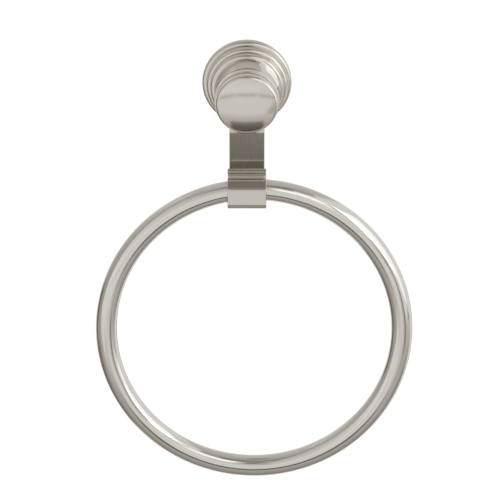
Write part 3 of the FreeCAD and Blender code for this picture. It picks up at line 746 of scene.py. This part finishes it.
CARDS = (
    # Above: a ceiling that darkens upwards, and the light that it throws behind the object
    Card("ceiling", turn=0, height=60, away=2.3, width=1.5, tall=1.4, foot=0.7, top=0.1, roll=-5),
    Card("top", turn=-15, height=80, away=2.3, width=3, tall=2, foot=0.4, top=0.75, roll=15),
    Card("top_back", turn=180, height=55, away=1.7, width=2.4, tall=3, foot=0.8, top=0.65, roll=10),
    # The white panels of the main light at the right, with the dark stands and gaps between them
    Card("key", turn=55, height=20, away=2, width=1.25, tall=1.3, foot=2.3, top=1.75, roll=-15),
    Card("key_right", turn=80, height=15, away=1.55, width=0.8, tall=1.4, foot=1.45, top=1.55, roll=-10),
    Card("key_top", turn=22, height=33, away=0.65, width=0.25, tall=0.25, foot=1.6, top=1.5, roll=-10),
    Card("key_edge", turn=35, height=15, away=1.3, width=0.06, tall=1.1, foot=0.1, top=0.1, roll=-15),
    Card("bar", turn=0, height=25, away=0.95, width=0.07, tall=1, foot=1.1, top=0.4, roll=25),
    Card("bar_wide", turn=40, height=-10, away=1, width=0.22, tall=0.65, foot=0.3, top=0.6, roll=15),
    Card("gap", turn=-2, height=30, away=1.5, width=0.3, tall=0.95, foot=0.9, top=0.1, roll=0),
    # The softer side at the left, dark at its edge and low down
    Card("fill", turn=-40, height=25, away=1.3, width=3.3, tall=1.5, foot=1.1, top=0.65, roll=0),
    Card("left", turn=-85, height=15, away=1.2, width=0.7, tall=2.8, foot=0.5, top=0.6, roll=0),
    Card("left_dark", turn=-115, height=-15, away=1.2, width=0.4, tall=0.8, foot=0.3, top=0.1, roll=-10),
    Card("left_back", turn=-110, height=15, away=1.15, width=1.55, tall=1.55, foot=0.35, top=0.85, roll=45),
    Card("left_low", turn=-105, height=-25, away=2.2, width=2, tall=2.35, foot=0.3, top=0.05, roll=5),
    # Low at the right and behind, where the wall sends light back
    Card("right_low", turn=60, height=-40, away=1, width=1.55, tall=0.85, foot=0.1, top=0.8, roll=-5),
    Card("right_back", turn=170, height=-10, away=1.5, width=1.1, tall=1.4, foot=0.4, top=1.1, roll=-20),
    # In front below: the dark gap that the strap and the cap's lower rim show, and the bench
    Card("front_low", turn=0, height=-37, away=0.7, width=0.37, tall=0.15, foot=0.05, top=0.3, roll=0),
    Card("front_shade", turn=0, height=-37, away=0.73, width=0.74, tall=0.35, foot=0.3, top=0.9, roll=0),
    Card("bench", turn=5, height=-73, away=0.63, width=5, tall=0.9, foot=0.25, top=0.7, roll=0),
    # The edge of the paper sweep, three straight lengths that the cap shows as a thin arc
    Card("sweep_left", turn=-20, height=-8, away=1.4, width=0.46, tall=0.04, foot=0.4, top=0.4, roll=15),
    Card("sweep_middle", turn=0, height=-5.5, away=1.4, width=0.46, tall=0.04, foot=0.4, top=0.4, roll=0),
    Card("sweep_right", turn=20, height=-8, away=1.4, width=0.46, tall=0.04, foot=0.4, top=0.4, roll=-15),
)


def background_rays(tree):
    """1 for the rays that show the background: those of the camera and through metal or glass."""
    ray = node(tree, "ShaderNodeLightPath")
    seen = node(
        tree,
        "ShaderNodeMath",
        {0: ray.outputs["Is Camera Ray"], 1: ray.outputs["Is Glossy Ray"]},
        operation="MAXIMUM",
    )
    shown = node(
        tree,
        "ShaderNodeMath",
        {0: seen.outputs["Value"], 1: ray.outputs["Is Transmission Ray"]},
        operation="MAXIMUM",
    )
    return shown.outputs["Value"]


def studio_world(plain_level):
    """White for the camera, for metal and for glass, and a plain level for the light on the object."""
    world = bpy.data.worlds.new("studio")
    world.use_nodes = True
    tree = world.node_tree
    tree.nodes.clear()
    level = node(
        tree, "ShaderNodeMapRange", {"Value": background_rays(tree)}, {"To Min": plain_level, "To Max": 1.0}
    )
    light = node(tree, "ShaderNodeBackground", {"Strength": level.outputs["Result"]}, {"Color": WHITE})
    node(tree, "ShaderNodeOutputWorld", {"Surface": light.outputs["Background"]})
    return world


def facing(turn, height):
    """The axes of something that faces the aim from a turn and a height: right, up and back."""
    back = Vector(
        (math.sin(turn) * math.cos(height), -math.cos(turn) * math.cos(height), math.sin(height))
    )
    right = Vector((math.cos(turn), math.sin(turn), 0.0))
    return Matrix((right, back.cross(right), back)).transposed()


def reflected_card(card, aim):
    """Put up a card that faces the aim. Its grey runs evenly from its foot to its top, and the darker
    it is, the warmer."""
    axes = facing(math.radians(card.turn), math.radians(card.height))
    mesh = bpy.data.meshes.new(card.name)
    x, y = card.width / 2, card.tall / 2
    mesh.from_pydata([(-x, -y, 0), (x, -y, 0), (x, y, 0), (-x, y, 0)], [], [(0, 1, 2, 3)])
    material = bpy.data.materials.new(card.name)
    material.use_nodes = True
    material.cycles.emission_sampling = "NONE"
    tree = material.node_tree
    tree.nodes.clear()
    place = node(tree, "ShaderNodeTexCoord").outputs["Object"]
    upright = node(tree, "ShaderNodeSeparateXYZ", {"Vector": place})
    grey = node(
        tree,
        "ShaderNodeMapRange",
        {"Value": upright.outputs["Y"]},
        {"From Min": -y, "From Max": y, "To Min": card.foot, "To Max": card.top},
    )
    tone = node(
        tree,
        "ShaderNodeMix",
        {"Factor": grey.outputs["Result"]},
        {"A": WARM_DARK, "B": WHITE},
        data_type="RGBA",
    )
    glow = node(
        tree, "ShaderNodeEmission", {"Color": tone.outputs["Result"], "Strength": grey.outputs["Result"]}
    )
    node(tree, "ShaderNodeOutputMaterial", {"Surface": glow.outputs["Emission"]})
    mesh.materials.append(material)
    rolled = axes @ Matrix.Rotation(math.radians(card.roll), 3, "Z")
    board = bpy.data.objects.new(card.name, mesh)
    board.matrix_world = Matrix.Translation(aim + axes.col[2] * card.away) @ rolled.to_4x4()
    board.visible_camera = False
    board.visible_diffuse = False
    board.visible_shadow = False
    bpy.context.scene.collection.objects.link(board)
    return board


def soft_lamp(name, settings, aim):
    """A square lamp that faces the aim. It only lights: in reflections the white cards stand for it."""
    axes = facing(settings.key_turn, settings.key_height)
    data = bpy.data.lights.new(name, "AREA")
    data.shape = "SQUARE"
    data.size = settings.key_size
    data.energy = settings.key_watts
    lamp = bpy.data.objects.new(name, data)
    lamp.matrix_world = Matrix.Translation(aim + axes.col[2] * settings.key_distance) @ axes.to_4x4()
    lamp.visible_glossy = False
    bpy.context.scene.collection.objects.link(lamp)


def pale_floor(drop, reach):
    """A wide pale floor below the ring. It is white to the camera, apart from the shadow."""
    z = RING_LOW.z - drop
    mesh = bpy.data.meshes.new("floor")
    corners = [(-reach, -reach, z), (reach, -reach, z), (reach, reach, z), (-reach, reach, z)]
    mesh.from_pydata(corners, [], [(0, 1, 2, 3)])
    floor = bpy.data.objects.new("floor", mesh)
    material = bpy.data.materials.new("white_paper")
    material.use_nodes = True
    tree = material.node_tree
    tree.nodes.clear()
    shader = node(tree, "ShaderNodeBsdfDiffuse", values={"Color": PAPER})
    glow = node(tree, "ShaderNodeEmission", {"Strength": background_rays(tree)}, {"Color": PAPER_GLOW})
    both = node(tree, "ShaderNodeAddShader", {0: shader.outputs["BSDF"], 1: glow.outputs["Emission"]})
    node(tree, "ShaderNodeOutputMaterial", {"Surface": both.outputs["Shader"]})
    mesh.materials.append(material)
    floor.visible_glossy = False
    bpy.context.scene.collection.objects.link(floor)
    return floor


class TOWELRING_OT_studio(bpy.types.Operator):
    """Set up the world, the floor, the lamp, the cards and the camera"""

    bl_idname = "towelring.studio"
    bl_label = "Studio"

    def execute(self, context):
        settings = context.scene.towel_ring_studio
        scene = context.scene
        scene.view_settings.view_transform = "Standard"
        scene.world = studio_world(settings.plain_level)
        pale_floor(settings.floor_drop, settings.floor_reach)
        aim = Vector((settings.aim_right, -settings.aim_forward, -settings.aim_down))
        soft_lamp("key_lamp", settings, aim)
        for card in CARDS:
            reflected_card(card, aim)
        data = bpy.data.cameras.new("camera")
        data.lens = settings.lens
        distance = settings.view_width * settings.lens / data.sensor_width
        back = Vector((0, -math.cos(settings.elevation), math.sin(settings.elevation)))
        camera = bpy.data.objects.new("camera", data)
        camera.location = aim + back * distance
        camera.rotation_euler = back.to_track_quat("Z", "Y").to_euler()
        data.clip_end = SIGHT_FACTOR * distance
        scene.collection.objects.link(camera)
        scene.camera = camera
        return {"FINISHED"}


class TOWELRING_PT_panel(bpy.types.Panel):
    """Lists the pieces and the studio"""

    bl_idname = "TOWELRING_PT_panel"
    bl_label = "Towel ring"
    bl_space_type = "VIEW_3D"
    bl_region_type = "UI"
    bl_category = "Towel ring"

    def draw(self, context):
        for operator in OPERATORS:
            self.layout.operator(operator.bl_idname)


GROUPS = {
    "towel_ring_post": PostSizes,
    "towel_ring_cap": CapSizes,
    "towel_ring_strap": StrapSizes,
    "towel_ring_finish": FinishColours,
    "towel_ring_studio": StudioSettings,
}
OPERATORS = (
    TOWELRING_OT_post,
    TOWELRING_OT_cap,
    TOWELRING_OT_strap,
    TOWELRING_OT_ring,
    TOWELRING_OT_fixings,
    TOWELRING_OT_studio,
)


def register():
    """Add the sizes, colours and settings to the scene, and the operators and the panel to Blender."""
    for group in GROUPS.values():
        bpy.utils.register_class(group)
    for name, group in GROUPS.items():
        setattr(bpy.types.Scene, name, bpy.props.PointerProperty(type=group))
    for kind in (*OPERATORS, TOWELRING_PT_panel):
        bpy.utils.register_class(kind)


def unregister():
    """Take away what register added, in the opposite order."""
    for kind in reversed((*OPERATORS, TOWELRING_PT_panel)):
        bpy.utils.unregister_class(kind)
    for name, group in reversed(GROUPS.items()):
        delattr(bpy.types.Scene, name)
        bpy.utils.unregister_class(group)


def main():
    """Make every piece and the studio."""
    register()
    bpy.ops.towelring.post()
    bpy.ops.towelring.cap()
    bpy.ops.towelring.strap()
    bpy.ops.towelring.ring()
    bpy.ops.towelring.fixings()
    bpy.ops.towelring.studio()
    bpy.context.view_layer.update()


if __name__ == "__main__":
    main()
